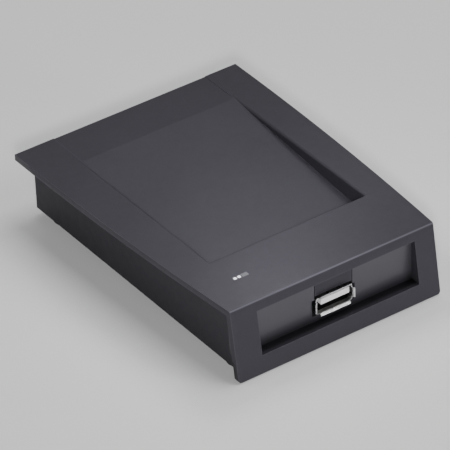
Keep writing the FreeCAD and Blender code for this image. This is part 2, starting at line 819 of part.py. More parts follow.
# Indicator light guide and the three lights below it.
def make_guide():
    rods = [middle_box("guide_rod", x, "indicator_y", wide + " / 2",
                       "guide_post_deep / 2", "guide_post_foot", "plate_top")
            for x, wide in indicator_windows]
    bar = middle_box("guide_bar", "guide_bar_x", "indicator_y", "guide_bar_half",
                     "guide_bar_deep / 2", "plate_top - plate_thick - guide_bar_thick",
                     plate_under)
    return fuse("guide", rods + [bar])


node("indicator_lens", make_guide())
node("status_leds", group("status_leds", [
    middle_box("led", x, "indicator_y", "led_wide / 2", "led_deep / 2", board_top,
               offset(board_top, "led_tall")) for x, wide in indicator_windows]))


# Antenna coil: a flat wound band on foam pads under the bay's inclined slab.
bay_foot_y = size("bay_front") + size("bay_depth") * size("bay_slope")
slab_under_middle = (size("plate_top") - size("bay_depth") - size("bay_slab")
                     + size("bay_slope") * (size("coil_mid_y") - bay_foot_y))
under_slab = FreeCAD.Placement(
    FreeCAD.Vector(size("bay_shift"), size("coil_mid_y"), slab_under_middle), bay_turn)


def coil_loop(name, shrink, radius):
    """Block with rounded upright corners, the coil's outline shrunk by a width."""
    loop = middle_box(name, "0", "0", "coil_half_x - (%s)" % shrink,
                      "coil_half_y - (%s)" % shrink, "-coil_pad_thick - coil_thick",
                      "-coil_pad_thick")
    return rounded(name + "_round", loop, radius, upright)


coil = cut("coil_wound", coil_loop("coil_outer", "0", size("coil_round")),
           [coil_loop("coil_inner", "coil_band", size("coil_round") - size("coil_band"))])
coil.Placement = under_slab
node("antenna_coil", coil)

pad_across = "coil_half_x - coil_band / 2"
pad_along = "coil_half_y - coil_band / 2"
pads = [middle_box("coil_pad", x, "0", "coil_pad_band / 2", "coil_pad_half",
                   "-coil_pad_thick", "0") for x in ("-(%s)" % pad_across, pad_across)]
pads += [middle_box("coil_pad", "0", y, "coil_pad_half", "coil_pad_band / 2",
                    "-coil_pad_thick", "0") for y in ("-(%s)" % pad_along, pad_along)]
coil_pads = group("coil_pads", pads)
coil_pads.Placement = under_slab
node("coil_pads", coil_pads)

socket_top = offset(board_top, "socket_tall")
socket_pins = ["socket_x - socket_pitch / 2", "socket_x + socket_pitch / 2"]
node("coil_connector", cut(
    "connector_body",
    middle_box("connector_block", "socket_x", "socket_y", "socket_half_x", "socket_half_y",
               board_top, socket_top),
    [post("connector_hole", x, "socket_y", "socket_hole_radius",
          offset(socket_top, "-socket_hole_deep"), offset(socket_top, "beyond"))
     for x in socket_pins]))


def make_lead(side):
    """One enamelled wire from the coil's front band down into the connector."""
    radius = size("lead_radius")
    pin_x = size("socket_x") + side * size("socket_pitch") / 2
    top_z = size("board_under") + size("board_thick") + size("socket_tall")
    # the wire's end lies just under the coil's band, clear of it
    coil_local = FreeCAD.Vector(pin_x + side * size("lead_spread") - size("bay_shift"),
                                -size("coil_half_y") + size("coil_band") / 2,
                                -size("coil_pad_thick") - size("coil_thick") - radius / 4)
    start = under_slab.multVec(coil_local)
    end = FreeCAD.Vector(pin_x, size("socket_y"), top_z - size("lead_plugged"))
    above = FreeCAD.Vector(pin_x, size("socket_y"), top_z + size("beyond"))
    sag = FreeCAD.Vector((start.x + pin_x) / 2, (start.y + end.y) / 2,
                         start.z - size("lead_sag"))
    curve = Part.BSplineCurve()
    curve.interpolate([start, sag, above, end])
    spine = Part.Wire([curve.toShape()])
    ring = Part.Wire([Part.makeCircle(radius, start, curve.tangent(0)[0])])
    item = doc.addObject("Part::Feature", "lead")
    item.Shape = spine.makePipeShell([ring], True, False)
    return item


node("coil_leads", group("coil_leads", [make_lead(side) for side in (-1, 1)]))


# Parts on the board.
CONTROLLER_LEGS_PER_SIDE = 8
READER_LEGS_PER_SIDE = 7
RESISTOR_COUNT = 8


def leg_row(count, pitch_alias, along_x, mid_x, mid_y, edge):
    """Legs along one side of a chip; edge is the chip's half width on that side."""
    legs = []
    low = board_top
    high = offset(board_top, "chip_lift + chip_leg_thick")
    for index in range(count):
        shift = "(%s) * %s" % (index - (count - 1) / 2, pitch_alias)
        for sign in ("-", ""):
            reach = "%s(%s + chip_leg_out / 2 - chip_leg_thick)" % (sign, edge)
            if along_x:
                place = (offset(mid_x, shift), offset(mid_y, reach))
                half = ("chip_leg_wide / 2", "chip_leg_out / 2")
            else:
                place = (offset(mid_x, reach), offset(mid_y, shift))
                half = ("chip_leg_out / 2", "chip_leg_wide / 2")
            legs.append(middle_box("chip_leg", *place, *half, low, high))
    return legs


def chip_body(x, y, half_x, half_y, tall):
    return middle_box("chip_body", x, y, half_x, half_y, offset(board_top, "chip_lift"),
                      offset(board_top, tall))


node("microcontroller", fuse("controller", [
    chip_body("controller_x", "controller_y", "controller_half", "controller_half", "chip_tall")]
    + leg_row(CONTROLLER_LEGS_PER_SIDE, "controller_pitch", True, "controller_x",
              "controller_y", "controller_half")
    + leg_row(CONTROLLER_LEGS_PER_SIDE, "controller_pitch", False, "controller_x",
              "controller_y", "controller_half")))
node("reader_chip", fuse("reader", [
    chip_body("reader_x", "reader_y", "reader_half_x", "reader_half_y", "chip_tall")]
    + leg_row(READER_LEGS_PER_SIDE, "reader_pitch", False, "reader_x", "reader_y",
              "reader_half_x")))
node("crystal", rounded("crystal_can", middle_box(
    "crystal_block", "crystal_x", "crystal_y", "crystal_half_x", "crystal_half_y", board_top,
    offset(board_top, "crystal_tall")), size("crystal_round"), upright))
node("voltage_regulator", fuse("regulator", [
    chip_body("regulator_x", "regulator_y", "regulator_half_x", "regulator_half_y",
              "regulator_tall"),
    middle_box("regulator_tab", "regulator_x", "regulator_y + regulator_half_y",
               "regulator_half_x / 2", "chip_leg_out", board_top,
               offset(board_top, "chip_lift + chip_leg_thick"))]
    + [middle_box("regulator_leg", "regulator_x + (%d) * regulator_pitch" % step,
                  "regulator_y - regulator_half_y", "chip_leg_wide", "chip_leg_out", board_top,
                  offset(board_top, "chip_lift + chip_leg_thick")) for step in (-1, 0, 1)]))
node("electrolytic_capacitors", group("electrolytic_capacitors", [
    fuse("big_cap", [
        middle_box("big_cap_foot", x, "big_cap_y", "big_cap_radius", "big_cap_radius",
                   board_top, offset(board_top, "big_cap_base")),
        post("big_cap_can", x, "big_cap_y", "big_cap_radius", board_top,
             offset(board_top, "big_cap_tall"))])
    for x in ("big_cap_x_near", "big_cap_x_far")]))
node("inductor", rounded("inductor_body", middle_box(
    "inductor_block", "coil_driver_x", "coil_driver_y", "coil_driver_half", "coil_driver_half",
    board_top, offset(board_top, "coil_driver_tall")), size("coil_driver_half") / 2, upright))
buzzer_top = offset(board_top, "buzzer_tall")
node("buzzer", cut("buzzer_body", post("buzzer_can", "buzzer_x", "buzzer_y", "buzzer_radius",
                                       board_top, buzzer_top),
                   [post("buzzer_hole", "buzzer_x", "buzzer_y", "buzzer_hole_radius",
                         offset(buzzer_top, "-buzzer_hole_deep"),
                         offset(buzzer_top, "beyond"))]))

# Small capacitors stand near the part each one serves.
small_caps = (
    ("controller_x - cap_to_controller", "controller_y + cap_step"),
    ("controller_x - cap_to_controller", "controller_y"),
    ("controller_x", "controller_y + cap_to_controller"),
    ("controller_x + cap_step", "controller_y + cap_to_controller"),
    ("reader_x", "reader_y + cap_to_reader"),
    ("regulator_x - cap_to_regulator", "regulator_y"),
)
node("ceramic_capacitors", group("ceramic_capacitors", [
    middle_box("small_cap", x, y, "small_cap_long / 2", "small_cap_wide / 2", board_top,
               offset(board_top, "small_cap_tall")) for x, y in small_caps]))
node("chip_resistors", group("chip_resistors", [
    middle_box("resistor", "resistor_row_x + %d * resistor_pitch" % index, "resistor_row_y",
               "resistor_wide / 2", "resistor_long / 2", board_top,
               offset(board_top, "resistor_tall")) for index in range(RESISTOR_COUNT)]))
node("rating_label", box("label_sheet", ("-label_half_x", "label_half_x"),
                         ("-label_half_y", "label_half_y"),
                         ("housing_foot - label_thick", "housing_foot")))

doc.recompute()

# Every object must have computed, and every node must be sound, before anything is written.
for item in doc.Objects:
    if "Invalid" in item.State or "Error" in item.State:
        raise RuntimeError("%s did not compute: %s" % (item.Name, item.State))
for name, item in nodes.items():
    if item.Shape.isNull() or not item.Shape.isValid():
        raise RuntimeError("%s has no sound shape" % name)
    print("%-26s solids %2d  volume %10.2f" % (name, len(item.Shape.Solids), item.Shape.Volume))

os.makedirs("parts", exist_ok=True)
for name, item in nodes.items():
    item.Shape.exportStep("parts/%s.step" % name)
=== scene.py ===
import math

import bpy
from mathutils import Matrix, Vector


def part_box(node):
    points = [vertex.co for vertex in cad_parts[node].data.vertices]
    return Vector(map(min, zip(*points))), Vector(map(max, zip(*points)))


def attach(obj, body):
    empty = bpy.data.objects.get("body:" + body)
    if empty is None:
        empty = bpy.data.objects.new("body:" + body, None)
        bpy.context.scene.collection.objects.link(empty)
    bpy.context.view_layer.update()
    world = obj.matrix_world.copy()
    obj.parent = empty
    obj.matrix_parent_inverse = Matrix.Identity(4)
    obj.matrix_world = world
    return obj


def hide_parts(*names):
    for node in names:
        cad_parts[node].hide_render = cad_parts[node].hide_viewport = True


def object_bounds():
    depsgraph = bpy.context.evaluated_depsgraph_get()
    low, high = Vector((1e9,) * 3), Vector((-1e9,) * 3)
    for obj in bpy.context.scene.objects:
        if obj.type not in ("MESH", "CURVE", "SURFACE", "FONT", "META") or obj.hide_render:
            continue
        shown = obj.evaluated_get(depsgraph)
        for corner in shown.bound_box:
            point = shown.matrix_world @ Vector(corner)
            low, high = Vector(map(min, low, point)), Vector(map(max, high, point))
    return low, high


MM = 0.001
BODY = "root"

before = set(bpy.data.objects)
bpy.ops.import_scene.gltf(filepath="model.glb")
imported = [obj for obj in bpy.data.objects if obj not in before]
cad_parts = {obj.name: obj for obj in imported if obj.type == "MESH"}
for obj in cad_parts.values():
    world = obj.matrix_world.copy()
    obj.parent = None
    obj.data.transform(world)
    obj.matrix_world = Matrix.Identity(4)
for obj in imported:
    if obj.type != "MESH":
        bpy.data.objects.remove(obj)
cad_low, cad_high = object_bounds()


# ---------------------------------------------------------------- camera, light and floor

CAMERA_AZIMUTH = math.radians(-33.83)
CAMERA_ELEVATION = math.radians(34.7)
CAMERA_ROLL = math.radians(-2.45)
CAMERA_DISTANCE = 1.328
SENSOR_WIDTH = 36.0
LENS = 355.6
# the camera looks past the case's middle by this much, right and up in its own view
AIM_RIGHT = -0.00189
AIM_UP = -0.00116
AIM_HEIGHT = 0.012
CLIP_END = 50
WHITE = (1, 1, 1)
WORLD_STRENGTH = 0.06
SOFT_BOX_DISTANCE = 1.2
LARGE_BOX, MIDDLE_BOX, SMALL_BOX = 0.6, 0.3, 0.08
# name, azimuth from +X towards +Y and elevation in degrees, power in watts, side in metres
STUDIO_LIGHTS = (
    ("overhead", 0, 75, 6.6, LARGE_BOX),
    ("back left", 140, 30, 1.5, LARGE_BOX),
    ("low back", 90, 20, 0.4, LARGE_BOX),
    ("high back", 60, 50, 1.7, LARGE_BOX),
    ("low front", 290, 9, 2.3, MIDDLE_BOX),
    ("front right", 309, 43, 1.8, MIDDLE_BOX),
    ("front fill", 236, 31, 7.0, SMALL_BOX),
)
# the near soft box: above this place, at this height over the plate, with this power
GLOW_X, GLOW_Y, GLOW_HEIGHT, GLOW_POWER = 0.004, -0.018, 0.052, 0.028
# its side, as a part of its height
GLOW_SIDE = 0.5


def add_camera():
    back = Vector((math.sin(CAMERA_AZIMUTH) * math.cos(CAMERA_ELEVATION),
                   -math.cos(CAMERA_AZIMUTH) * math.cos(CAMERA_ELEVATION),
                   math.sin(CAMERA_ELEVATION)))
    level = Vector((math.cos(CAMERA_AZIMUTH), math.sin(CAMERA_AZIMUTH), 0))
    upward = back.cross(level)
    right = level * math.cos(CAMERA_ROLL) + upward * math.sin(CAMERA_ROLL)
    up = upward * math.cos(CAMERA_ROLL) - level * math.sin(CAMERA_ROLL)
    place = Vector((0, 0, AIM_HEIGHT)) + back * CAMERA_DISTANCE + right * AIM_RIGHT + up * AIM_UP
    data = bpy.data.cameras.new("camera")
    data.sensor_width = SENSOR_WIDTH
    data.lens = LENS
    data.clip_end = CLIP_END
    camera = bpy.data.objects.new("camera", data)
    turned = Matrix((right, up, back)).transposed().to_4x4()
    camera.matrix_world = Matrix.Translation(place) @ turned
    bpy.context.scene.collection.objects.link(camera)
    bpy.context.scene.camera = camera


def add_soft_box(name, place, aim, side, power):
    data = bpy.data.lights.new(name, "AREA")
    data.shape = "SQUARE"
    data.size = side
    data.energy = power
    light = bpy.data.objects.new(name, data)
    light.location = place
    light.rotation_euler = (aim - place).to_track_quat("-Z", "Y").to_euler()
    bpy.context.scene.collection.objects.link(light)


def add_studio_light(name, azimuth, elevation, power, side):
    """Soft box some way off, aimed at the origin."""
    turn, tilt = math.radians(azimuth), math.radians(elevation)
    towards = Vector((math.cos(turn) * math.cos(tilt), math.sin(turn) * math.cos(tilt),
                      math.sin(tilt)))
    add_soft_box(name, towards * SOFT_BOX_DISTANCE, Vector((0, 0, 0)), side, power)


def add_glow():
    """Small soft box close above the case: a broad pool of light on the front of the plate."""
    aim = Vector((GLOW_X, GLOW_Y, cad_high[2]))
    place = aim + Vector((0, 0, GLOW_HEIGHT))
    add_soft_box("glow", place, aim, GLOW_HEIGHT * GLOW_SIDE, GLOW_POWER)


def add_world():
    world = bpy.data.worlds.new("studio")
    world.use_nodes = True
    background = world.node_tree.nodes["Background"]
    background.inputs["Color"].default_value = (*WHITE, 1)
    background.inputs["Strength"].default_value = WORLD_STRENGTH
    bpy.context.scene.world = world


add_camera()
add_world()
for studio_light in STUDIO_LIGHTS:
    add_studio_light(*studio_light)
add_glow()


# ---------------------------------------------------------------- materials

CHARCOAL = (0.0296, 0.0284, 0.034)
HOUSING = (0.0104, 0.0100, 0.0122)
PAINTED_LIGHT_FRONT = (0.058, 0.057, 0.064)
COOL = (0.88, 0.83, 1.0)
NICKEL = (0.78, 0.78, 0.79)
ZINC = (0.60, 0.61, 0.62)
GOLD = (0.62, 0.55, 0.42)
IVORY = (0.90, 0.90, 0.89)
BLACK = (0.018, 0.018, 0.02)
RUBBER = (0.02, 0.02, 0.021)
PAINTED_SHADE_NICKEL = (0.05, 0.05, 0.052)
LAMP_RESIN = (0.95, 0.92, 0.8)
MASK_GREEN = (0.012, 0.10, 0.035)
TRACK_GREEN = (0.03, 0.16, 0.05)
ENAMEL = (0.50, 0.20, 0.07)
FOAM = (0.16, 0.16, 0.17)
NYLON = (0.74, 0.73, 0.68)
STEEL = (0.70, 0.70, 0.71)
ALUMINIUM = (0.74, 0.74, 0.76)
CERAMIC = (0.42, 0.29, 0.17)
FILM = (0.024, 0.024, 0.026)
FERRITE = (0.07, 0.07, 0.075)
LABEL = (0.55, 0.55, 0.54)
GUIDE_DULL = (0.13, 0.13, 0.145)
GUIDE_LIT = (0.95, 0.95, 1.0)
UNLIT = (0.0, 0.0, 0.0)

# texture scales, in repeats per metre
BLOTCHES, STAINS, DIMPLES, SMEARS = 45.0, 250.0, 300.0, 400.0
RUB_MARKS, STREAKS, FROST = 500.0, 900.0, 1800.0
# bump heights
FAINT, FINE, COARSE = 0.01 * MM, 0.02 * MM, 0.03 * MM

# height of the connector pocket's floor
POCKET_FLOOR = 6.1 * MM
# the housing's front wall lies ahead of this
WALL_BACK = -48.0 * MM
# upward part of the normal mid-rim, the rim's colour lightened as a painted highlight, and its
# rubbed shinier roughness
RIM_TURN, RIM_PAINTED_HIGHLIGHT, RIM_ROUGHNESS = 0.65, 4.0, 0.33
# how much of the cover's colour is left in the shaded pocket
SHADED = 0.15
GUIDE_GLOW = 2.2
LAMPS_ON = 2
LAMP_HALF = 0.4 * MM
LAMP_PITCH = 1.45 * MM


class Look:
    """A node material being built, with short calls for the nodes used here."""

    def __init__(self, name):
        self.material = bpy.data.materials.new(name)
        self.material.use_nodes = True
        self.tree = self.material.node_tree
        self.shader = self.tree.nodes["Principled BSDF"]
        self.coords = self.tree.nodes.new("ShaderNodeTexCoord")

    def node(self, kind, **settings):
        item = self.tree.nodes.new(kind)
        for key, value in settings.items():
            setattr(item, key, value)
        return item

    def join(self, source, target):
        self.tree.links.new(source, target)

    def noise(self, scale, detail=3.0, stretch=None):
        texture = self.node("ShaderNodeTexNoise")
        texture.inputs["Scale"].default_value = scale
        texture.inputs["Detail"].default_value = detail
        source = self.coords.outputs["Object"]
        if stretch:
            mapping = self.node("ShaderNodeMapping")
            mapping.inputs["Scale"].default_value = stretch
            self.join(source, mapping.inputs["Vector"])
            source = mapping.outputs["Vector"]
        self.join(source, texture.inputs["Vector"])
        return texture.outputs["Fac"]

    def cells(self, scale):
        texture = self.node("ShaderNodeTexVoronoi")
        texture.inputs["Scale"].default_value = scale
        self.join(self.coords.outputs["Object"], texture.inputs["Vector"])
        return texture.outputs["Distance"]

    def spread(self, source, low, high, start=0.3, end=0.7):
        """Map a 0-1 texture to a range of values."""
        ranged = self.node("ShaderNodeMapRange")
        for name, value in (("From Min", start), ("From Max", end),
                            ("To Min", low), ("To Max", high)):
            ranged.inputs[name].default_value = value
        self.join(source, ranged.inputs["Value"])
        return ranged.outputs["Result"]

    def blend(self, factor, low, high):
        """Colour between two, by a factor output. low and high are colours or outputs."""
        mix = self.node("ShaderNodeMix", data_type="RGBA")
        self.join(factor, mix.inputs["Factor"])
        for socket, value in ((mix.inputs[6], low), (mix.inputs[7], high)):
            if isinstance(value, tuple):
                socket.default_value = (*value, 1)
            else:
                self.join(value, socket)
        return mix.outputs[2]

    def axes(self, source):
        """X, Y and Z outputs of a vector."""
        parts = self.node("ShaderNodeSeparateXYZ")
        self.join(source, parts.inputs["Vector"])
        return parts.outputs

    def maths(self, operation, first, second=None):
        """Result of a sum on outputs. second may be a plain number."""
        sum_node = self.node("ShaderNodeMath", operation=operation)
        self.join(first, sum_node.inputs[0])
        if isinstance(second, float):
            sum_node.inputs[1].default_value = second
        elif second is not None:
            self.join(second, sum_node.inputs[1])
        return sum_node.outputs["Value"]

    def between(self, factor, low, high):
        """Value between two, by a factor output. high may be a plain number."""
        mix = self.node("ShaderNodeMix")
        self.join(factor, mix.inputs["Factor"])
        self.join(low, mix.inputs["A"])
        if isinstance(high, float):
            mix.inputs["B"].default_value = high
        else:
            self.join(high, mix.inputs["B"])
        return mix.outputs["Result"]

    def edges(self, radius):
        """1 along sharp edges, 0 on flat faces."""
        bevel = self.node("ShaderNodeBevel", samples=4)
        bevel.inputs["Radius"].default_value = radius
        geometry = self.node("ShaderNodeNewGeometry")
        dot = self.node("ShaderNodeVectorMath", operation="DOT_PRODUCT")
        self.join(bevel.outputs["Normal"], dot.inputs[0])
        self.join(geometry.outputs["Normal"], dot.inputs[1])
        return self.spread(dot.outputs["Value"], 1.0, 0.0, 0.86, 0.995)

    def bump(self, layers):
        """Stack bump layers: (height output, strength, distance in metres)."""
        normal = None
        for height, strength, distance in layers:
            bump = self.node("ShaderNodeBump")
            bump.inputs["Strength"].default_value = strength
            bump.inputs["Distance"].default_value = distance
            self.join(height, bump.inputs["Height"])
            if normal is not None:
                self.join(normal, bump.inputs["Normal"])
            normal = bump.outputs["Normal"]
        self.join(normal, self.shader.inputs["Normal"])

    def colour(self, source):
        self.join(source, self.shader.inputs["Base Color"])

    def roughness(self, source):
        self.join(source, self.shader.inputs["Roughness"])


def scaled(colour, amount):
    return tuple(channel * amount for channel in colour)


def front_rims(look):
    """1 where the surface turns from the top down to the front, 0 on both."""
    facing = look.axes(look.coords.outputs["Normal"])
    away = look.maths("ABSOLUTE", look.maths("SUBTRACT", facing["Z"], RIM_TURN))
    turned = look.spread(away, 1.0, 0.0, 0.15, 0.35)
    forward = look.spread(facing["Y"], 1.0, 0.0, -0.4, -0.2)
    return look.maths("MULTIPLY", turned, forward)


def pocket_shade(look):
    """1 at the back of the pocket's floor, 0 from its front edge outward and above the floor."""
    place = look.axes(look.coords.outputs["Object"])
    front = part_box("top_cover")[0][1]
    deep = look.spread(place["Y"], 0.0, 1.0, front + 0.9 * MM, front + 2.9 * MM)
    low = look.spread(place["Z"], 1.0, 0.0, POCKET_FLOOR + 0.2 * MM, POCKET_FLOOR + 0.5 * MM)
    return look.maths("MULTIPLY", deep, low)


def moulded(name, colour, rough, grain=2600.0, grain_depth=COARSE, wear_and_highlight=1.7,
            shine=0.5, tint=WHITE, is_cover=False):
    """Moulded plastic: fine spark texture, faint blotches, edges lighter from handling wear, on
    the cover also as a painted highlight.

    The cover's front rim is lightened as a painted highlight and rubbed shinier, and its pocket's
    floor is darkened as painted shade.
    """
    look = Look(name)
    blotch = look.noise(BLOTCHES, 4.0)
    speckle = look.noise(grain * 0.7, 2.0)
    base = look.blend(look.spread(blotch, 0, 1), scaled(colour, 0.92), scaled(colour, 1.08))
    flecked = look.blend(look.spread(speckle, 0, 0.35), base, scaled(colour, 1.25))
    skin = look.blend(look.edges(0.35 * MM), flecked, scaled(colour, wear_and_highlight))
    matt = look.spread(look.noise(SMEARS, 4.0), rough - 0.03, rough + 0.03)
    if is_cover:
        rims = front_rims(look)
        # painted highlight: the front rim's colour is lightened several times over
        skin = look.blend(rims, skin, scaled(colour, RIM_PAINTED_HIGHLIGHT))
        skin = look.blend(pocket_shade(look), skin, scaled(colour, SHADED))
        matt = look.between(rims, matt, RIM_ROUGHNESS)
    look.colour(skin)
    look.roughness(matt)
    look.bump([(look.cells(grain), 0.35, grain_depth), (look.noise(DIMPLES, 2.0), 0.15, FINE)])
    look.shader.inputs["Specular IOR Level"].default_value = shine
    look.shader.inputs["Specular Tint"].default_value = (*tint, 1)
    return look.material


def housing_plastic():
    """Grained sides, and a smooth front wall down to near its foot, painted paler than the sides
    as painted light and darker at its foot as painted shade.
    """
    look = Look("housing_plastic")
    place = look.axes(look.coords.outputs["Object"])
    ahead = look.spread(place["Y"], 1.0, 0.0, WALL_BACK - MM, WALL_BACK)
    above = look.spread(place["Z"], 0.0, 1.0, POCKET_FLOOR + 0.5 * MM, POCKET_FLOOR + 4.0 * MM)
    smooth_and_lit = look.maths("MULTIPLY", ahead, above)
    blotch = look.spread(look.noise(BLOTCHES, 4.0), 0, 1)
    sides = look.blend(blotch, scaled(HOUSING, 0.92), scaled(HOUSING, 1.08))
    # painted light: the front wall in a paler copy of the housing's colour; below the mask it
    # keeps the darker colour as painted shade
    front = look.blend(blotch, scaled(PAINTED_LIGHT_FRONT, 0.97), scaled(PAINTED_LIGHT_FRONT, 1.03))
    base = look.blend(smooth_and_lit, sides, front)
    look.colour(look.blend(look.edges(0.25 * MM), base, scaled(HOUSING, 1.8)))
    matt = look.spread(look.noise(SMEARS, 4.0), 0.57, 0.63)
    glossy = look.spread(look.noise(RUB_MARKS, 3.0), 0.277, 0.285)
    look.roughness(look.between(smooth_and_lit, matt, glossy))
    fading = look.spread(smooth_and_lit, 1.0, 0.1, 0.0, 1.0)
    look.bump([(look.maths("MULTIPLY", look.noise(FROST, 2.0), fading), 0.05, FINE)])
    look.shader.inputs["Specular IOR Level"].default_value = 0.5
    look.shader.inputs["Specular Tint"].default_value = (*COOL, 1)
    return look.material


def metal(name, colour, rough, brushed=(1, 1, 1)):
    """Plated or drawn metal with faint streaks and darker handling marks."""
    look = Look(name)
    streak = look.noise(STREAKS, 3.0, brushed)
    stain = look.noise(STAINS, 4.0)
    base = look.blend(look.spread(stain, 0, 1), scaled(colour, 0.86), colour)
    look.colour(look.blend(look.edges(0.08 * MM), base, scaled(colour, 1.1)))
    look.shader.inputs["Metallic"].default_value = 1.0
    look.roughness(look.spread(streak, rough - 0.06, rough + 0.08))
    look.bump([(streak, 0.2, FAINT)])
    return look.material


def glowing(name, colour, strength):
    """Lamp bodies, shining faintly all over."""
    look = Look(name)
    frost = look.noise(FROST, 2.0)
    look.colour(look.blend(look.spread(frost, 0, 1), scaled(colour, 0.85), colour))
    look.shader.inputs["Roughness"].default_value = 0.35
    look.shader.inputs["Emission Color"].default_value = (*colour, 1)
    look.shader.inputs["Emission Strength"].default_value = strength
    look.bump([(frost, 0.3, FINE)])
    return look.material


def light_guide():
    """Frosted guide: bright over the two lamps that are on, dull over the third."""
    look = Look("light_guide")
    low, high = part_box("status_leds")
    middle_y = (low[1] + high[1]) / 2
    flat = look.node("ShaderNodeMapping")
    flat.inputs["Scale"].default_value = (1, 1, 0)
    look.join(look.coords.outputs["Object"], flat.inputs["Vector"])
    spots = []
    for number in range(LAMPS_ON):
        away = look.node("ShaderNodeVectorMath", operation="DISTANCE")
        lamp_x = low[0] + LAMP_HALF + number * LAMP_PITCH
        away.inputs[1].default_value = (lamp_x, middle_y, 0)
        look.join(flat.outputs["Vector"], away.inputs[0])
        spots.append(look.spread(away.outputs["Value"], 1.0, 0.0, 0.15 * MM, 0.62 * MM))
    lit = look.maths("MAXIMUM", *spots)
    frost = look.spread(look.noise(FROST, 2.0), 0, 1)
    dull = look.blend(frost, GUIDE_DULL, scaled(GUIDE_DULL, 1.2))
    look.colour(look.blend(lit, dull, GUIDE_LIT))
    look.join(look.blend(lit, UNLIT, GUIDE_LIT), look.shader.inputs["Emission Color"])
    look.shader.inputs["Emission Strength"].default_value = GUIDE_GLOW
    look.shader.inputs["Roughness"].default_value = 0.4
    look.bump([(look.noise(FROST, 2.0), 0.3, FINE)])
    return look.material


def laminate(name, mask, copper):
    """Circuit board: solder mask over faint copper tracks."""
    look = Look(name)
    tracks = look.node("ShaderNodeTexBrick")
    tracks.inputs["Scale"].default_value = 130.0
    tracks.inputs["Mortar Size"].default_value = 0.06
    look.join(look.coords.outputs["Object"], tracks.inputs["Vector"])
    cloud = look.spread(look.noise(120.0, 3.0), 0.2, 0.8)
    board = look.blend(cloud, scaled(mask, 0.8), scaled(mask, 1.15))
    look.colour(look.blend(tracks.outputs["Fac"], board, copper))
    look.roughness(look.spread(look.noise(SMEARS, 3.0), 0.28, 0.42))
    look.bump([(tracks.outputs["Fac"], 0.3, COARSE), (look.noise(1500.0, 2.0), 0.2, FINE)])
    return look.material


def wound(name, colour):
    """Flat coil of enamelled wire: fine ridges around the loop."""
    look = Look(name)
    wave = look.node("ShaderNodeTexWave", wave_type="RINGS", rings_direction="Z")
    wave.inputs["Scale"].default_value = 500.0
    wave.inputs["Distortion"].default_value = 0.6
    look.join(look.coords.outputs["Object"], wave.inputs["Vector"])
    look.colour(look.blend(wave.outputs["Fac"], scaled(colour, 0.55), colour))
    look.shader.inputs["Metallic"].default_value = 0.7
    look.roughness(look.spread(look.noise(600.0, 3.0), 0.28, 0.42))
    look.bump([(wave.outputs["Fac"], 0.6, 0.06 * MM)])
    return look.material


looks = {
    # the cover's edges are lightened beyond wear, as a painted highlight
    "top_cover": moulded("cover_plastic", CHARCOAL, 0.52, wear_and_highlight=2.4, shine=0.4, tint=COOL,
                         is_cover=True),
    "bottom_housing": housing_plastic(),
    "rubber_feet": moulded("foot_rubber", RUBBER, 0.82, 1400.0, 0.05 * MM, 1.4),
    "housing_screws": metal("zinc_steel", ZINC, 0.34),
    "usb_shell": metal("socket_nickel", NICKEL, 0.3, (1, 0.1, 1)),
    # painted shade: the socket's deep inner faces in a dark copy of the nickel
    "shell_inside_painted_shade": metal("socket_inside_painted_shade", PAINTED_SHADE_NICKEL, 0.5),
    "usb_tongue": moulded("socket_white", IVORY, 0.42, 3200.0, FAINT, 1.02),
    "usb_contacts": metal("contact_gold", GOLD, 0.25),
    "indicator_lens": light_guide(),
    "status_leds": glowing("lamp_body", LAMP_RESIN, 0.5),
    "main_board": laminate("board_laminate", MASK_GREEN, TRACK_GREEN),
    "antenna_coil": wound("coil_wire", ENAMEL),
    "coil_pads": moulded("pad_foam", FOAM, 0.9, 900.0, 0.12 * MM, 1.1),
    "coil_connector": moulded("connector_nylon", NYLON, 0.45, 3000.0, FAINT, 1.03),
    "microcontroller": moulded("chip_epoxy", BLACK, 0.55, 3600.0, FINE, 1.3),
    "crystal": metal("can_steel", STEEL, 0.26),
    "electrolytic_capacitors": metal("can_aluminium", ALUMINIUM, 0.3, (1, 1, 8)),
    "ceramic_capacitors": moulded("capacitor_ceramic", CERAMIC, 0.5, 4000.0, FAINT, 1.1),
    "chip_resistors": moulded("resistor_film", FILM, 0.45, 4000.0, FAINT, 1.3),
    "inductor": moulded("inductor_ferrite", FERRITE, 0.6, 2500.0, COARSE, 1.3),
    "buzzer": moulded("buzzer_case", BLACK, 0.38, 3000.0, FAINT, 1.4),
    "rating_label": moulded("label_film", LABEL, 0.5, 1800.0, FAINT, 1.03),
}
for node, twin in (("board_screws", "housing_screws"), ("coil_leads", "antenna_coil"),
                   ("reader_chip", "microcontroller"), ("voltage_regulator", "microcontroller")):
    looks[node] = looks[twin]

# widths of the edge roundings; the other pieces keep their CAD edges
ROUNDINGS = {"top_cover": 0.45 * MM, "bottom_housing": 0.3 * MM}
WELD_REACH = 0.002 * MM
SHARP_ANGLE = math.radians(28)


def soften(piece, width):
    """Join the faces' split corners, then round every sharp edge a little."""
    weld = piece.modifiers.new("weld", "WELD")
    weld.merge_threshold = WELD_REACH
    bevel = piece.modifiers.new("round", "BEVEL")
    bevel.width = width
    bevel.segments = 2
    bevel.limit_method = "ANGLE"
    bevel.angle_limit = SHARP_ANGLE
    bevel.harden_normals = True


for name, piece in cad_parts.items():
    piece.data.materials.clear()
    piece.data.materials.append(looks[name])
    if name in ROUNDINGS:
        soften(piece, ROUNDINGS[name])


# ---------------------------------------------------------------- USB socket's sheet metal

CREASE_ANGLE = math.radians(38)


def add_piece(name, verts, faces, materials, groups, stands_for):
    """A mesh piece in place of CAD nodes. groups holds each face's material number."""
    mesh = bpy.data.meshes.new(name)
    mesh.from_pydata([tuple(v) for v in verts], [], faces)
    for material in materials:
        mesh.materials.append(material)
    for face, group in zip(mesh.polygons, groups):
        face.material_index = group
        face.use_smooth = True
    mesh.set_sharp_from_angle(angle=CREASE_ANGLE)
    piece = bpy.data.objects.new(name, mesh)
    bpy.context.scene.collection.objects.link(piece)
    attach(piece, BODY)
    if stands_for:
        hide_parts(stands_for)
    return piece


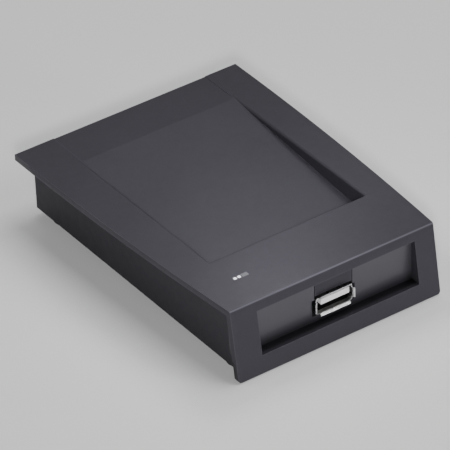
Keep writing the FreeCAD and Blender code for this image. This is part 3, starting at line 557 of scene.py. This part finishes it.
class Sheet:
    """Gathers the faces of bent sheet metal."""

    def __init__(self):
        self.verts, self.faces, self.groups = [], [], []

    def loft(self, rings, group, closed=True):
        """Skin between rings of equally many points."""
        start, count = len(self.verts), len(rings[0])
        for ring in rings:
            self.verts.extend(ring)
        for row in range(len(rings) - 1):
            for step in range(count if closed else count - 1):
                a = start + row * count + step
                b = start + row * count + (step + 1) % count
                self.faces.append((a, b, b + count, a + count))
                self.groups.append(group)

    def strip(self, path, half_across, thick, group):
        """Bent strip: follows path, with its width along half_across."""
        rings = []
        for place, point in enumerate(path):
            ahead = path[min(place + 1, len(path) - 1)] - path[max(place - 1, 0)]
            out = ahead.cross(half_across).normalized() * thick / 2
            rings.append([point - half_across - out, point + half_across - out,
                          point + half_across + out, point - half_across + out])
        self.loft(rings, group)
        first = len(self.verts) - 4 * len(rings)
        last = len(self.verts) - 4
        self.faces += [tuple(range(first + 3, first - 1, -1)), tuple(range(last, last + 4))]
        self.groups += [group, group]


def rounded_outline(centre, half_x, half_z, radius, y, steps=5):
    """Ring of points around a rounded rectangle that faces along Y."""
    ring = []
    for corner, (sx, sz) in enumerate(((1, 1), (-1, 1), (-1, -1), (1, -1))):
        for step in range(steps + 1):
            turn = math.radians(90) * (corner + step / steps)
            ring.append(Vector((centre.x + sx * (half_x - radius) + radius * math.cos(turn), y,
                                centre.z + sz * (half_z - radius) + radius * math.sin(turn))))
    return ring


def flare(start, inward, outward, radius, turn, lead_in, steps=8):
    """Path that runs straight towards the mouth, then bends outward along an arc."""
    path = [start - inward * lead_in]
    for step in range(steps + 1):
        angle = turn * step / steps
        path.append(start + inward * radius * math.sin(angle)
                    + outward * radius * (1 - math.cos(angle)))
    return path


SHEET = 0.3 * MM
SOCKET_HALF_X = 6.55 * MM
SOCKET_HALF_Z = 2.85 * MM
SOCKET_CORNER = 0.7 * MM
LIP_RADIUS = 0.85 * MM
# how far the bottom and right lips turn outward, and how far the top and left ones do
LIP_TURN = math.radians(72)
FULL_TURN = math.radians(95)
LIP_INSET = 1.2 * MM
# the inner face keeps the bright nickel this far behind the lips; deeper in, a dark metal paints
# the shade inside the socket
BRIGHT_DEPTH = 1.32 * MM
# straight start of each lip
LEAD_IN = 0.06 * MM
LEG_HALF = 0.9 * MM
LEG_BEHIND_LIPS = 11.2 * MM
OUTER_METAL, SHADED_INNER_METAL = 0, 1


def add_socket_shell():
    low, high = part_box("usb_shell")
    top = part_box("main_board")[1][2]
    centre = Vector(((low[0] + high[0]) / 2, 0, top + SOCKET_HALF_Z))
    lip_start = low[1] + LIP_RADIUS * math.sin(LIP_TURN)
    sheet = Sheet()
    outer = [rounded_outline(centre, SOCKET_HALF_X, SOCKET_HALF_Z, SOCKET_CORNER, y)
             for y in (high[1], lip_start)]
    inner = [rounded_outline(centre, SOCKET_HALF_X - SHEET, SOCKET_HALF_Z - SHEET,
                             SOCKET_CORNER - SHEET, y)
             for y in (lip_start, lip_start + BRIGHT_DEPTH, high[1])]
    sheet.loft(outer + [inner[0]], OUTER_METAL)
    sheet.loft(inner[:2], OUTER_METAL)
    # deeper inner faces take the dark metal, as painted shade
    sheet.loft([inner[1], inner[2], outer[0]], SHADED_INNER_METAL)
    right, forward, up = Vector((1, 0, 0)), Vector((0, -1, 0)), Vector((0, 0, 1))
    for out, across, reach, wide, turn in (
            (up, right, SOCKET_HALF_Z, SOCKET_HALF_X, FULL_TURN),
            (-up, -right, SOCKET_HALF_Z, SOCKET_HALF_X, LIP_TURN),
            (right, -up, SOCKET_HALF_X, SOCKET_HALF_Z, LIP_TURN),
            (-right, up, SOCKET_HALF_X, SOCKET_HALF_Z, FULL_TURN)):
        start = Vector((centre.x, lip_start, centre.z)) + out * (reach - SHEET / 2)
        path = flare(start, forward, out, LIP_RADIUS, turn, LEAD_IN)
        sheet.strip(path, across * (wide - LIP_INSET), SHEET, OUTER_METAL)
    leg_y = low[1] + LEG_BEHIND_LIPS
    for side in (-1, 1):
        foot = Vector((centre.x + side * (SOCKET_HALF_X - SHEET / 2), leg_y, low[2]))
        head = Vector((foot.x, leg_y, centre.z - SOCKET_HALF_Z + SOCKET_CORNER))
        sheet.strip([foot, head], Vector((0, LEG_HALF, 0)), SHEET, OUTER_METAL)
    return add_piece("socket_shell", sheet.verts, sheet.faces,
                     [looks["usb_shell"], looks["shell_inside_painted_shade"]], sheet.groups, "usb_shell")


add_socket_shell()


# ---------------------------------------------------------------- floor

FLOOR_REACH = 6.0
PAPER_DARK = (0.84, 0.84, 0.84)
PAPER_PALE = (0.86, 0.86, 0.86)


def add_floor():
    look = Look("floor_paper")
    cloud = look.spread(look.noise(3.0, 2.0), 0, 1)
    look.colour(look.blend(cloud, PAPER_DARK, PAPER_PALE))
    look.shader.inputs["Roughness"].default_value = 0.9
    mesh = bpy.data.meshes.new("floor")
    corners = [(x * FLOOR_REACH, y * FLOOR_REACH, 0)
               for x, y in ((-1, -1), (1, -1), (1, 1), (-1, 1))]
    mesh.from_pydata(corners, [], [(0, 1, 2, 3)])
    mesh.materials.append(look.material)
    floor = bpy.data.objects.new("floor", mesh)
    bpy.context.scene.collection.objects.link(floor)


add_floor()
